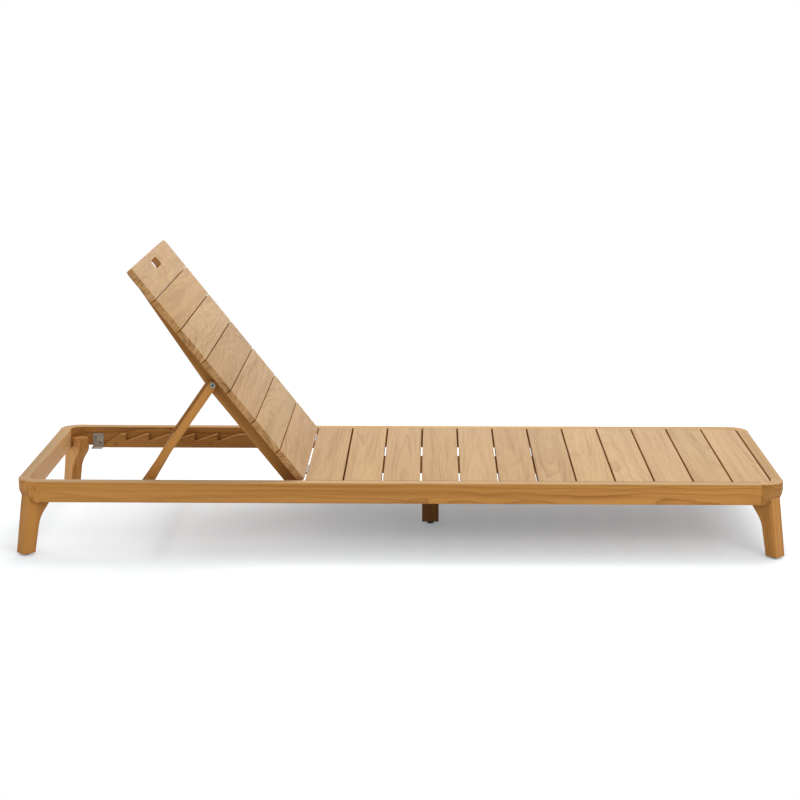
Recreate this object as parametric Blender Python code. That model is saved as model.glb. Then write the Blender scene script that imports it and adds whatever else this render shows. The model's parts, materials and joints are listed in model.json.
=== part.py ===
"""Slatted teak sun lounger with a hinged back, a folding prop and notched racks.

Metres, +Z up from the floor. The head end is at -X and the sitter's left is +Y.
The origin lies on the floor, in the middle of the frame.
"""

import math

import bmesh
import bpy
from mathutils import Matrix

# Frame
FRAME_LENGTH = 2.000
FRAME_WIDTH = 0.700
FRAME_TOP = 0.200
RAIL_HEIGHT = 0.055
RAIL_THICKNESS = 0.031
CORNER_RADIUS = 0.055
CORNER_STRAIGHT = 0.008
CORNER_CHAMFER_DROP = 0.024
END_CUT_HEIGHT = 0.036
END_CUT_INSET = 0.0140
JOINT_GAP = 0.0003

# Legs, measured along the corner's diagonal from the sharp outer corner
LEG_THICKNESS = 0.036
LEG_HEAD_DEPTH = 0.0365
LEG_HEAD_DROP = 0.025
LEG_NECK_DROP = 0.0380
LEG_NECK_SETBACK = 0.001
LEG_TONGUE_WEB = 0.0022
LEG_KNEE_DROP = 0.067
LEG_KNEE_INNER = 0.060
LEG_FOOT_OUTER = 0.0085
LEG_FOOT_DEPTH = 0.037
PAD_HEIGHT = 0.004
MIDDLE_PAD_HEIGHT = 0.0085
PAD_RADIUS = 0.009
MIDDLE_LEG_WIDTH = 0.046
MIDDLE_LEG_X = 0.0803

# Deck
SLAT_WIDTH = 0.0968
SLAT_GAP = 0.0045
BACK_SLAT_WIDTH = 0.0985
BACK_SLAT_GAP = 0.0025
SLAT_THICKNESS = 0.018
SEAT_FOOT_GAP = 0.004
SEAT_END_GAP = 0.002
BACK_END_GAP = 0.009
BACK_SLAT_COUNT = 7
LEAST_HEAD_GAP = 0.008
CROSS_RAIL_WIDTH = 0.060
BEAM_WIDTH = 0.085
BEAM_DEPTH = 0.030
HAND_SLOT_LENGTH = 0.105
HAND_SLOT_HEIGHT = 0.026
HAND_SLOT_FROM_TOP = 0.0325

# Hinges between seat and back
HINGE_GAP = 0.0055
HINGE_PIN_DROP = 0.0025
HINGE_PIN_RADIUS = 0.0015
HINGE_KNUCKLE_RADIUS = 0.0033
HINGE_ROOM = 0.0005
HINGE_BORE_CLEARANCE = 0.0001
HINGE_LEAF_THICKNESS = 0.0012
HINGE_LEAF_HEIGHT = 0.012
HINGE_LENGTH = 0.086
HINGE_FROM_BATTEN = 0.008
HINGE_KNUCKLES = 5

# Back and prop
BATTEN_WIDTH = 0.0255
BATTEN_DEPTH = 0.0357
BATTEN_TIP_DEPTH = 0.0077
BATTEN_FOOT = 0.002
BATTEN_TAPER_START = 0.330
BATTEN_SHORT_OF_TOP = 0.0428
PIVOT_FROM_HINGE = 0.3415
PIVOT_DROP = 0.035
BAR_SEAT_DROP = 0.0219
BAR_FROM_NOTCH_WALL = 0.0045
BAR_LEG_GAP = 0.0015
ARM_WIDTH = 0.021
ARM_THICKNESS = 0.018
ARM_SIDE_GAP = 0.0005
BAR_THICKNESS = 0.024
BAR_OFFSET = 0.0059
BAR_DEPTH = 0.024
BAR_END_CLEARANCE = 0.0007
BOLT_RADIUS = 0.004
BOLT_CLEARANCE = 0.0001
BOLT_HEAD_RADIUS = 0.007
BOLT_HEAD_HEIGHT = 0.005
BOLT_SOCKET_RADIUS = 0.0032
BOLT_SOCKET_DEPTH = 0.0028
BOLT_DEPTH_IN_BATTEN = 0.020

# Racks, ledgers and brackets on the side rails
RACK_THICKNESS = 0.0147
RACK_PEAK_DROP = 0.0005
RACK_BELOW_RAIL = 0.004
NOTCH_DEPTH = 0.021
NOTCH_PITCH = 0.0673
NOTCH_COUNT = 5
NOTCH_COUNT_BEFORE_REST = 2
RACK_NOSE_LENGTH = 0.0665
PEAK_FLAT = 0.005
FIRST_PEAK_FLAT = 0.013
RACK_NOSE_HEIGHT = 0.0055
RACK_SHORT_OF_HINGE = 0.0125
LEDGER_LEG_GAP = 0.002
BRACKET_WIDTH = 0.032
BRACKET_HEIGHT = 0.040
BRACKET_REACH = 0.0327
BRACKET_THICKNESS = 0.0025
BRACKET_OFFSET = 0.0088
BRACKET_ARM_GAP = 0.002
LIP_BAR_GAP = 0.001

# Facets of round shapes
CORNER_STEPS = 10
CURVE_STEPS = 10
ROUND_SIDES = 20
PIN_SIDES = 16
HEX_SIDES = 6

ROOT_TWO = math.sqrt(2)

# Heights and planes that several pieces share
RAIL_BOTTOM = FRAME_TOP - RAIL_HEIGHT
RACK_BOTTOM = RAIL_BOTTOM - RACK_BELOW_RAIL
DECK_UNDERSIDE = FRAME_TOP - SLAT_THICKNESS
CARRIER_TOP = DECK_UNDERSIDE - JOINT_GAP
RAIL_INNER_X = FRAME_LENGTH / 2 - RAIL_THICKNESS
RAIL_INNER_Y = FRAME_WIDTH / 2 - RAIL_THICKNESS
CORNER_REACH = CORNER_RADIUS + CORNER_STRAIGHT
RACK_INNER_Y = RAIL_INNER_Y - JOINT_GAP - RACK_THICKNESS

# Corner geometry along the diagonal from the sharp outer corner
LEG_HALF = LEG_THICKNESS / 2
CORNER_OUTER_Q = CORNER_RADIUS * (ROOT_TWO - 1)
CORNER_TANGENT_Q = CORNER_RADIUS / ROOT_TWO
CORNER_INNER_RADIUS = CORNER_RADIUS - RAIL_THICKNESS
CORNER_INNER_Q = CORNER_RADIUS * ROOT_TWO - CORNER_INNER_RADIUS
TONGUE_INNER_Q = CORNER_INNER_Q - LEG_TONGUE_WEB

# The leg's head clears both rails and the corner block's inner round
HEAD_CLEAR_OF_RAILS = RAIL_THICKNESS * ROOT_TWO + LEG_HALF
ROUND_DEPTH = math.sqrt(max(CORNER_INNER_RADIUS ** 2 - LEG_HALF ** 2, 0.0))
HEAD_CLEAR_OF_ROUND = CORNER_RADIUS * ROOT_TWO - ROUND_DEPTH
LEG_HEAD_OUTER_Q = max(HEAD_CLEAR_OF_RAILS, HEAD_CLEAR_OF_ROUND) + JOINT_GAP * ROOT_TWO
LEG_HEAD_INNER_Q = LEG_HEAD_OUTER_Q + LEG_HEAD_DEPTH
LEG_CORNER_X = (LEG_HEAD_INNER_Q + LEG_HALF) / ROOT_TWO - FRAME_LENGTH / 2

# Deck layout: whole slats fill the frame from the foot rail to the hinge
SLAT_PITCH = SLAT_WIDTH + SLAT_GAP
BACK_PITCH = BACK_SLAT_WIDTH + BACK_SLAT_GAP
BACK_LENGTH = BACK_SLAT_COUNT * BACK_PITCH - BACK_SLAT_GAP
SEAT_SPACE = 2 * RAIL_INNER_X - SEAT_FOOT_GAP - BACK_LENGTH - HINGE_GAP - LEAST_HEAD_GAP
SEAT_SLAT_COUNT = math.floor((SEAT_SPACE + SLAT_GAP) / SLAT_PITCH)
SEAT_FOOT_X = RAIL_INNER_X - SEAT_FOOT_GAP
SEAT_HINGE_X = SEAT_FOOT_X - SEAT_SLAT_COUNT * SLAT_PITCH + SLAT_GAP
PIN_X = SEAT_HINGE_X - HINGE_GAP / 2
PIN_Z = FRAME_TOP - HINGE_PIN_DROP
SEAT_HALF_WIDTH = RAIL_INNER_Y - SEAT_END_GAP
BACK_HALF_WIDTH = RAIL_INNER_Y - BACK_END_GAP
CROSS_RAIL_X = SEAT_HINGE_X + SLAT_PITCH - SLAT_GAP / 2

# Side planes of the folding gear, from the rails inwards
LIP_EDGE_Y = RAIL_INNER_Y - JOINT_GAP - BRACKET_REACH
ARM_OUTER_Y = LIP_EDGE_Y - BRACKET_ARM_GAP
ARM_INNER_Y = ARM_OUTER_Y - ARM_THICKNESS
BATTEN_OUTER_Y = ARM_INNER_Y - ARM_SIDE_GAP
BATTEN_INNER_Y = BATTEN_OUTER_Y - BATTEN_WIDTH
BAR_HALF_WIDTH = RACK_INNER_Y - BAR_END_CLEARANCE
HINGE_Y = BATTEN_INNER_Y - HINGE_FROM_BATTEN - HINGE_LENGTH / 2

# The prop's pivot from the hinge pin, with the back lying flat
PIVOT_X = -PIVOT_FROM_HINGE
PIVOT_Z = HINGE_PIN_DROP - PIVOT_DROP

# With the back flat, the prop reaches from its bolts to just short of the head legs
PROP_LENGTH = PIN_X - PIVOT_FROM_HINGE - LEG_CORNER_X - BAR_LEG_GAP

# The bar on the bracket's lip, with the back lying flat
LIP_TOP = RACK_BOTTOM + BRACKET_THICKNESS
BAR_MIDDLE = PROP_LENGTH - BAR_DEPTH / 2
FLAT_ARM_Z = LIP_TOP + LIP_BAR_GAP + BAR_THICKNESS / 2 + BAR_OFFSET
FLAT_BAR_DROP = FRAME_TOP - PIVOT_DROP - FLAT_ARM_Z
FLAT_TILT = math.asin(FLAT_BAR_DROP / BAR_MIDDLE)
FLAT_BAR_X = PIN_X - PIVOT_FROM_HINGE - BAR_MIDDLE * math.cos(FLAT_TILT)
BRACKET_X = FLAT_BAR_X + BRACKET_OFFSET

# The rack runs from the bracket to the hinge
RACK_TOP = DECK_UNDERSIDE - RACK_PEAK_DROP
RACK_HEAD_X = BRACKET_X + BRACKET_WIDTH / 2 + JOINT_GAP
RACK_FOOT_X = PIN_X - RACK_SHORT_OF_HINGE
FIRST_NOTCH_X = RACK_HEAD_X + RACK_NOSE_LENGTH

# With the back raised, pin, bolt and bar end make a triangle that sets the back's angle
BAR_END_X = FIRST_NOTCH_X + NOTCH_COUNT_BEFORE_REST * NOTCH_PITCH + BAR_FROM_NOTCH_WALL
NOTCH_FROM_HINGE = PIN_X - BAR_END_X
BAR_END_DROP = BAR_SEAT_DROP - HINGE_PIN_DROP
PIVOT_RADIUS = math.hypot(PIVOT_X, PIVOT_Z)
BAR_END_RADIUS = math.hypot(NOTCH_FROM_HINGE, BAR_END_DROP)
TRIANGLE_SIDES = PIVOT_RADIUS ** 2 + BAR_END_RADIUS ** 2 - PROP_LENGTH ** 2
ANGLE_AT_PIN = math.acos(TRIANGLE_SIDES / (2 * PIVOT_RADIUS * BAR_END_RADIUS))
BAR_END_ANGLE = math.atan2(BAR_END_DROP, NOTCH_FROM_HINGE)
BACK_ANGLE = ANGLE_AT_PIN - BAR_END_ANGLE + math.atan2(-PIVOT_Z, -PIVOT_X)
RAISED_PIVOT_X = PIN_X + PIVOT_X * math.cos(BACK_ANGLE) + PIVOT_Z * math.sin(BACK_ANGLE)
PROP_INCLINATION = math.acos((RAISED_PIVOT_X - BAR_END_X) / PROP_LENGTH)

SIDES = {"left": 1, "right": -1}
CORNERS = {
    "head_right": (-1, -1, 0.0),
    "foot_right": (1, -1, math.pi / 2),
    "foot_left": (1, 1, math.pi),
    "head_left": (-1, 1, -math.pi / 2),
}


def make_material(name, colour, roughness, metallic=0.0):
    material = bpy.data.materials.new(name)
    material.use_nodes = True
    shader = material.node_tree.nodes["Principled BSDF"]
    shader.inputs["Base Color"].default_value = (*colour, 1.0)
    shader.inputs["Roughness"].default_value = roughness
    shader.inputs["Metallic"].default_value = metallic
    return material


def make_empty(name, parent=None, location=(0, 0, 0), turn_y=0.0):
    empty = bpy.data.objects.new(name, None)
    bpy.context.scene.collection.objects.link(empty)
    empty.parent = parent
    empty.location = location
    empty.rotation_euler.y = turn_y
    return empty


def make_object(name, shape, material=None):
    """An object at the origin from a bmesh, with its faces pointing out."""
    bmesh.ops.recalc_face_normals(shape, faces=shape.faces)
    mesh = bpy.data.meshes.new(name)
    shape.to_mesh(mesh)
    shape.free()
    if material:
        mesh.materials.append(material)
    obj = bpy.data.objects.new(name, mesh)
    bpy.context.scene.collection.objects.link(obj)
    return obj


def place(obj, parent, location=(0, 0, 0), turn_z=0.0):
    obj.parent = parent
    obj.location = location
    obj.rotation_euler.z = turn_z
    return obj


def carve(obj, operation, tools):
    """Cuts or joins the tools into obj for good, and removes them."""
    for tool in tools:
        tool.hide_render = True
        step = obj.modifiers.new(tool.name, "BOOLEAN")
        step.operation = operation
        step.solver = "EXACT"
        step.object = tool
    graph = bpy.context.evaluated_depsgraph_get()
    carved = bpy.data.meshes.new_from_object(obj.evaluated_get(graph))
    carved.name = obj.name
    obj.modifiers.clear()
    obj.data = carved
    for tool in tools:
        bpy.data.objects.remove(tool)
    return obj


def box(low, high):
    """A box between two opposite corners."""
    shape = bmesh.new()
    bmesh.ops.create_cube(shape, size=1.0)
    for vert in shape.verts:
        vert.co = [a + (b - a) * (t + 0.5) for a, b, t in zip(low, high, vert.co)]
    return shape


def prism(outline, low, high, along="Y"):
    """An outline of (x, z) points drawn out along Y, or of (x, y) points along Z."""
    shape = bmesh.new()
    if along == "Y":
        verts = [shape.verts.new((a, low, b)) for a, b in outline]
        step = (0, high - low, 0)
    else:
        verts = [shape.verts.new((a, b, low)) for a, b in outline]
        step = (0, 0, high - low)
    face = shape.faces.new(verts)
    drawn = bmesh.ops.extrude_face_region(shape, geom=[face])
    moved = [item for item in drawn["geom"] if isinstance(item, bmesh.types.BMVert)]
    bmesh.ops.translate(shape, verts=moved, vec=step)
    return shape


def rod(radius, low, high, sides, along="Y"):
    """A round rod on the Y or Z axis."""
    shape = bmesh.new()
    bmesh.ops.create_cone(
        shape, cap_ends=True, segments=sides, radius1=radius, radius2=radius, depth=high - low
    )
    middle = (low + high) / 2
    if along == "Y":
        bmesh.ops.rotate(shape, verts=shape.verts, matrix=Matrix.Rotation(math.pi / 2, 3, "X"))
        bmesh.ops.translate(shape, verts=shape.verts, vec=(0, middle, 0))
    else:
        bmesh.ops.translate(shape, verts=shape.verts, vec=(0, 0, middle))
    return shape


def arc(centre, radius, start, end, steps):
    """Points along an arc, both ends included, with angles in degrees."""
    points = []
    for i in range(steps + 1):
        angle = math.radians(start + (end - start) * i / steps)
        points.append((centre[0] + radius * math.cos(angle), centre[1] + radius * math.sin(angle)))
    return points


def bezier(first, second, third, fourth, steps):
    """Points along a cubic curve, without its first point."""
    points = []
    for i in range(1, steps + 1):
        t = i / steps
        weights = ((1 - t) ** 3, 3 * t * (1 - t) ** 2, 3 * t * t * (1 - t), t ** 3)
        pairs = list(zip(weights, (first, second, third, fourth)))
        points.append(tuple(sum(w * p[axis] for w, p in pairs) for axis in (0, 1)))
    return points


def shade_round(obj):
    obj.data.shade_smooth()
    obj.data.set_sharp_from_angle(angle=math.radians(35))


def on_diagonal(shape):
    """Turns a shape drawn along +X onto the corner's inward diagonal."""
    bmesh.ops.rotate(shape, verts=shape.verts, matrix=Matrix.Rotation(math.pi / 4, 3, "Z"))
    return shape


def chamfer_line_q(height):
    """Diagonal distance of the corner's lower chamfer at a height."""
    top = FRAME_TOP - CORNER_CHAMFER_DROP
    share = (top - height) / (top - RAIL_BOTTOM)
    return CORNER_OUTER_Q + share * (CORNER_TANGENT_Q - CORNER_OUTER_Q)


def make_rails(teak, frame):
    """Four straight rails between the corner blocks."""
    reach = CORNER_REACH + JOINT_GAP / 2
    side_half = FRAME_LENGTH / 2 - reach
    end_half = FRAME_WIDTH / 2 - reach
    middle_y = FRAME_WIDTH / 2 - RAIL_THICKNESS / 2
    middle_x = FRAME_LENGTH / 2 - RAIL_THICKNESS / 2
    middle_z = FRAME_TOP - RAIL_HEIGHT / 2
    half_t = RAIL_THICKNESS / 2
    half_h = RAIL_HEIGHT / 2
    for side, sign in SIDES.items():
        shape = box((-side_half, -half_t, -half_h), (side_half, half_t, half_h))
        rail = make_object(f"side_rail_{side}", shape, teak)
        place(rail, frame, (0, sign * middle_y, middle_z))
    for name, sign in (("head_rail", -1), ("foot_rail", 1)):
        outer = sign * half_t
        outline = [(outer, half_h), (-outer, half_h), (-outer, -half_h)]
        outline += [(outer - sign * END_CUT_INSET, -half_h), (outer, END_CUT_HEIGHT - half_h)]
        rail = make_object(name, prism(outline, -end_half, end_half), teak)
        place(rail, frame, (sign * middle_x, 0, middle_z))


def corner_shape():
    """A quarter-round corner block with its sharp outer corner at the origin."""
    centre = (CORNER_RADIUS, CORNER_RADIUS)
    reach = CORNER_REACH - JOINT_GAP / 2
    outline = [(reach, 0)]
    outline += arc(centre, CORNER_RADIUS, 270, 180, CORNER_STEPS)
    outline += [(0, reach), (RAIL_THICKNESS, reach)]
    outline += arc(centre, CORNER_INNER_RADIUS, 180, 270, CORNER_STEPS)
    outline += [(reach, RAIL_THICKNESS)]
    return prism(outline, RAIL_BOTTOM, FRAME_TOP, "Z")


def chamfer_cutter():
    """Slants the block's lower outer edge in towards the leg's neck."""
    top = (CORNER_OUTER_Q, FRAME_TOP - CORNER_CHAMFER_DROP)
    foot = (CORNER_TANGENT_Q, RAIL_BOTTOM)
    run = (foot[0] - top[0], foot[1] - top[1])
    above = (top[0] - run[0], top[1] - run[1])
    below = (foot[0] + run[0] / 2, foot[1] + run[1] / 2)
    outline = [above, below, (above[0], below[1])]
    shape = prism(outline, -CORNER_REACH, CORNER_REACH)
    return make_object("corner_chamfer", on_diagonal(shape))


def end_cutter(across):
    """Carries the end rail's slanted lower edge on through the block.

    The end rail lies along the pattern's Y, or along its X when across is set.
    """
    slope = END_CUT_HEIGHT / END_CUT_INSET
    past = END_CUT_INSET
    low = RAIL_BOTTOM - past * slope
    high = RAIL_BOTTOM + END_CUT_HEIGHT + past * slope
    outline = [(-past, high), (END_CUT_INSET + past, low), (-past, low)]
    shape = prism(outline, -CORNER_REACH, 2 * CORNER_REACH)
    if across:
        for vert in shape.verts:
            vert.co = (vert.co.y, vert.co.x, vert.co.z)
        bmesh.ops.reverse_faces(shape, faces=shape.faces)
        shape.normal_update()
    return make_object("end_cut", shape)


def neck_outer_q():
    return chamfer_line_q(FRAME_TOP - LEG_NECK_DROP) + LEG_NECK_SETBACK


def neck_cutter():
    """The pocket in the block that takes the leg's neck."""
    half = LEG_HALF + JOINT_GAP
    low = (-CORNER_REACH, -half, RAIL_BOTTOM - RAIL_HEIGHT)
    high = (TONGUE_INNER_Q + JOINT_GAP, half, FRAME_TOP - LEG_NECK_DROP + JOINT_GAP)
    return make_object("neck_pocket", on_diagonal(box(low, high)))


def leg_shape():
    """The leg's side outline along the diagonal, drawn out to its thickness."""
    head_outer = LEG_HEAD_OUTER_Q
    head_inner = LEG_HEAD_INNER_Q
    seat = RAIL_BOTTOM - JOINT_GAP
    neck_top = FRAME_TOP - LEG_NECK_DROP
    head_top = FRAME_TOP - LEG_HEAD_DROP
    foot_inner = LEG_FOOT_OUTER + LEG_FOOT_DEPTH
    knee = (LEG_KNEE_INNER, RAIL_BOTTOM - LEG_KNEE_DROP)
    slope = (LEG_KNEE_INNER - foot_inner) / (knee[1] - PAD_HEIGHT)
    ease = LEG_KNEE_DROP / 2
    first = (head_inner, seat)
    second = (head_inner, seat - ease / 2)
    third = (knee[0] + ease * slope, knee[1] + ease)
    outline = [(head_outer, head_top), (head_inner, head_top), first]
    outline += bezier(first, second, third, knee, CURVE_STEPS)
    outline += [(foot_inner, PAD_HEIGHT), (LEG_FOOT_OUTER, PAD_HEIGHT)]
    outline += [(neck_outer_q(), neck_top), (TONGUE_INNER_Q, neck_top)]
    outline += [(TONGUE_INNER_Q, seat), (head_outer, seat)]
    return on_diagonal(prism(outline, -LEG_HALF, LEG_HALF))


def make_corners(teak, rubber, frame):
    """Corner blocks with the legs under them and a pad under each leg."""
    blocks = []
    for across in (False, True):
        block = make_object("corner_pattern", corner_shape(), teak)
        carve(block, "DIFFERENCE", [end_cutter(across), chamfer_cutter(), neck_cutter()])
        blocks.append(block)
    leg_mesh = make_object("leg_pattern", leg_shape(), teak)
    pad_q = (LEG_FOOT_OUTER + LEG_FOOT_DEPTH / 2) / ROOT_TWO
    pad = rod(PAD_RADIUS, 0, PAD_HEIGHT - JOINT_GAP, ROUND_SIDES, "Z")
    bmesh.ops.translate(pad, verts=pad.verts, vec=(pad_q, pad_q, 0))
    pad_mesh = make_object("pad_pattern", pad, rubber)
    shade_round(pad_mesh)
    for corner, (along, across, turn) in CORNERS.items():
        block = blocks[1] if along * across < 0 else blocks[0]
        patterns = (("corner_block", block), ("leg", leg_mesh), ("foot_pad", pad_mesh))
        spot = (along * FRAME_LENGTH / 2, across * FRAME_WIDTH / 2, 0)
        for kind, pattern in patterns:
            piece = bpy.data.objects.new(f"{kind}_{corner}", pattern.data)
            bpy.context.scene.collection.objects.link(piece)
            place(piece, frame, spot, turn)
    for pattern in (*blocks, leg_mesh, pad_mesh):
        bpy.data.objects.remove(pattern)


def make_carriers(teak, rubber, frame):
    """Ledgers, cross rail, centre beam and middle leg under the seat."""
    leg_reach = RAIL_THICKNESS + JOINT_GAP + RACK_THICKNESS + ROOT_TWO * LEG_HALF
    ledger_foot = FRAME_LENGTH / 2 - leg_reach - LEDGER_LEG_GAP
    for side, sign in SIDES.items():
        near = sign * RACK_INNER_Y
        far = sign * (RAIL_INNER_Y - JOINT_GAP)
        low = (RACK_FOOT_X + JOINT_GAP, min(near, far), RAIL_BOTTOM)
        high = (ledger_foot, max(near, far), CARRIER_TOP)
        place(make_object(f"seat_ledger_{side}", box(low, high), teak), frame)

    half = CROSS_RAIL_WIDTH / 2
    span = RACK_INNER_Y - JOINT_GAP
    low = (CROSS_RAIL_X - half, -span, CARRIER_TOP - BEAM_DEPTH)
    high = (CROSS_RAIL_X + half, span, CARRIER_TOP)
    place(make_object("cross_rail", box(low, high), teak), frame)

    low = (CROSS_RAIL_X + half + JOINT_GAP, -BEAM_WIDTH / 2, CARRIER_TOP - BEAM_DEPTH)
    high = (RAIL_INNER_X - JOINT_GAP, BEAM_WIDTH / 2, CARRIER_TOP)
    place(make_object("centre_beam", box(low, high), teak), frame)

    half = MIDDLE_LEG_WIDTH / 2
    top = CARRIER_TOP - BEAM_DEPTH - JOINT_GAP
    leg = make_object("middle_leg", box((-half, -half, MIDDLE_PAD_HEIGHT), (half, half, top)), teak)
    place(leg, frame, (MIDDLE_LEG_X, 0, 0))
    shape = rod(PAD_RADIUS, 0, MIDDLE_PAD_HEIGHT - JOINT_GAP, ROUND_SIDES, "Z")
    pad = make_object("foot_pad_middle", shape, rubber)
    shade_round(pad)
    place(pad, frame, (MIDDLE_LEG_X, 0, 0))


def foot_slat_shape():
    """The last seat slat, whose outer corners follow the frame's round corners."""
    half_w = SLAT_WIDTH / 2
    half_l = SEAT_HALF_WIDTH
    radius = max(CORNER_INNER_RADIUS - SEAT_FOOT_GAP, SEAT_END_GAP)
    inner = (half_w - radius, half_l - radius)
    outline = [(-half_w, -half_l)]
    outline += arc((inner[0], -inner[1]), radius, 270, 360, CORNER_STEPS)
    outline += arc(inner, radius, 0, 90, CORNER_STEPS)
    outline += [(-half_w, half_l)]
    return prism(outline, -SLAT_THICKNESS / 2, SLAT_THICKNESS / 2, "Z")


def hinge_rooms(edge, inward):
    """Cutters that make room in a slat's edge for the barrels of both hinges."""
    reach = HINGE_KNUCKLE_RADIUS + HINGE_ROOM
    pin = edge - inward * HINGE_GAP / 2
    ends = sorted((pin, pin + inward * reach))
    foot = SLAT_THICKNESS / 2 - HINGE_PIN_DROP - reach
    half = HINGE_LENGTH / 2 + HINGE_ROOM
    cutters = []
    for side, sign in SIDES.items():
        low = (ends[0], sign * HINGE_Y - half, foot)
        high = (ends[1], sign * HINGE_Y + half, SLAT_THICKNESS)
        cutters.append(make_object(f"hinge_room_{side}", box(low, high)))
    return cutters


def make_seat(teak, frame):
    """Seat slats from the hinge to the foot rail."""
    half_t = SLAT_THICKNESS / 2
    for i in range(SEAT_SLAT_COUNT):
        middle_x = SEAT_HINGE_X + i * SLAT_PITCH + SLAT_WIDTH / 2
        if i == SEAT_SLAT_COUNT - 1:
            shape = foot_slat_shape()
        else:
            low = (-SLAT_WIDTH / 2, -SEAT_HALF_WIDTH, -half_t)
            high = (SLAT_WIDTH / 2, SEAT_HALF_WIDTH, half_t)
            shape = box(low, high)
        slat = make_object(f"seat_slat_{i + 1:02d}", shape, teak)
        if i == 0:
            carve(slat, "DIFFERENCE", hinge_rooms(-SLAT_WIDTH / 2, 1))
        place(slat, frame, (middle_x, 0, FRAME_TOP - half_t))


def hand_slot_cutter():
    """A long hole with round ends through the top slat."""
    radius = HAND_SLOT_HEIGHT / 2
    offset = BACK_SLAT_WIDTH / 2 - HAND_SLOT_FROM_TOP
    end = HAND_SLOT_LENGTH / 2 - radius
    outline = arc((-offset, end), radius, 0, 180, CORNER_STEPS)
    outline += arc((-offset, -end), radius, 180, 360, CORNER_STEPS)
    return make_object("hand_slot", prism(outline, -SLAT_THICKNESS, SLAT_THICKNESS, "Z"))


def batten_shape(sign):
    """A tapering batten under the back slats, drawn with the back flat."""
    top = HINGE_PIN_DROP - SLAT_THICKNESS - JOINT_GAP
    tip = HINGE_GAP / 2 + BACK_LENGTH - BATTEN_SHORT_OF_TOP
    outline = [(-BATTEN_FOOT, top), (-tip, top), (-tip, top - BATTEN_TIP_DEPTH)]
    outline += [(-BATTEN_TAPER_START, top - BATTEN_DEPTH), (-BATTEN_FOOT, top - BATTEN_DEPTH)]
    edges = sorted((sign * BATTEN_INNER_Y, sign * BATTEN_OUTER_Y))
    return prism(outline, *edges)


def make_back(teak, back):
    """Back slats and battens, drawn flat about the hinge pin."""
    half_t = SLAT_THICKNESS / 2
    for i in range(BACK_SLAT_COUNT):
        middle_x = -(HINGE_GAP / 2 + i * BACK_PITCH + BACK_SLAT_WIDTH / 2)
        low = (-BACK_SLAT_WIDTH / 2, -BACK_HALF_WIDTH, -half_t)
        high = (BACK_SLAT_WIDTH / 2, BACK_HALF_WIDTH, half_t)
        slat = make_object(f"back_slat_{i + 1}", box(low, high), teak)
        if i == 0:
            carve(slat, "DIFFERENCE", hinge_rooms(BACK_SLAT_WIDTH / 2, -1))
        if i == BACK_SLAT_COUNT - 1:
            carve(slat, "DIFFERENCE", [hand_slot_cutter()])
        place(slat, back, (middle_x, 0, HINGE_PIN_DROP - half_t))
    for side, sign in SIDES.items():
        batten = make_object(f"back_batten_{side}", batten_shape(sign), teak)
        hole = rod(
            BOLT_RADIUS + BOLT_CLEARANCE,
            BATTEN_OUTER_Y - BOLT_DEPTH_IN_BATTEN - JOINT_GAP,
            ARM_OUTER_Y,
            ROUND_SIDES,
        )
        bmesh.ops.translate(hole, verts=hole.verts, vec=(PIVOT_X, 0, PIVOT_Z))
        cutter = make_object("bolt_hole", hole)
        if sign < 0:
            bmesh_mirror_y(cutter)
        carve(batten, "DIFFERENCE", [cutter])
        place(batten, back)


def bmesh_mirror_y(obj):
    """Mirrors an object's mesh to the other side, with its faces still pointing out."""
    shape = bmesh.new()
    shape.from_mesh(obj.data)
    bmesh.ops.scale(shape, vec=(1, -1, 1), verts=shape.verts)
    bmesh.ops.reverse_faces(shape, faces=shape.faces)
    shape.to_mesh(obj.data)
    shape.free()


def make_prop(teak, steel, back, prop):
    """Two arms on the bolts through the battens, lapped over the bar at their ends."""
    half_w = ARM_WIDTH / 2
    bar_top = BAR_THICKNESS / 2 - BAR_OFFSET
    bar_foot = bar_top - BAR_THICKNESS
    notch_end = -(PROP_LENGTH - BAR_DEPTH - JOINT_GAP)
    outline = arc((0, 0), half_w, -90, 90, CORNER_STEPS)
    outline += [(-PROP_LENGTH, half_w), (-PROP_LENGTH, bar_top + JOINT_GAP)]
    outline += [(notch_end, bar_top + JOINT_GAP), (notch_end, -half_w)]
    for side, sign in SIDES.items():
        arm = make_object(f"prop_arm_{side}", prism(outline, ARM_INNER_Y, ARM_OUTER_Y), teak)
        hole = rod(BOLT_RADIUS + BOLT_CLEARANCE, BATTEN_INNER_Y, RAIL_INNER_Y, ROUND_SIDES)
        carve(arm, "DIFFERENCE", [make_object("arm_hole", hole)])
        bolt = make_bolt(f"prop_bolt_{side}", steel)
        if sign < 0:
            bmesh_mirror_y(arm)
            bmesh_mirror_y(bolt)
        place(arm, prop)
        place(bolt, back, (PIVOT_X, 0, PIVOT_Z))
    low = (-PROP_LENGTH, -BAR_HALF_WIDTH, bar_foot)
    high = (-(PROP_LENGTH - BAR_DEPTH), BAR_HALF_WIDTH, bar_top)
    place(make_object("prop_bar", box(low, high), teak), prop)


def make_bolt(name, steel):
    """A button-head bolt with a hexagon socket, on the left side."""
    seat = ARM_OUTER_Y + JOINT_GAP
    crown = seat + BOLT_HEAD_HEIGHT
    shank = rod(BOLT_RADIUS, BATTEN_OUTER_Y - BOLT_DEPTH_IN_BATTEN, seat + BOLT_HEAD_HEIGHT / 2, ROUND_SIDES)
    bolt = make_object(name, shank, steel)
    head = make_object("bolt_head", rod(BOLT_HEAD_RADIUS, seat, crown, ROUND_SIDES))
    carve(bolt, "UNION", [head])
    socket = rod(BOLT_SOCKET_RADIUS, crown - BOLT_SOCKET_DEPTH, crown + BOLT_HEAD_HEIGHT, HEX_SIDES)
    carve(bolt, "DIFFERENCE", [make_object("bolt_socket", socket)])
    shade_round(bolt)
    return bolt


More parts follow.
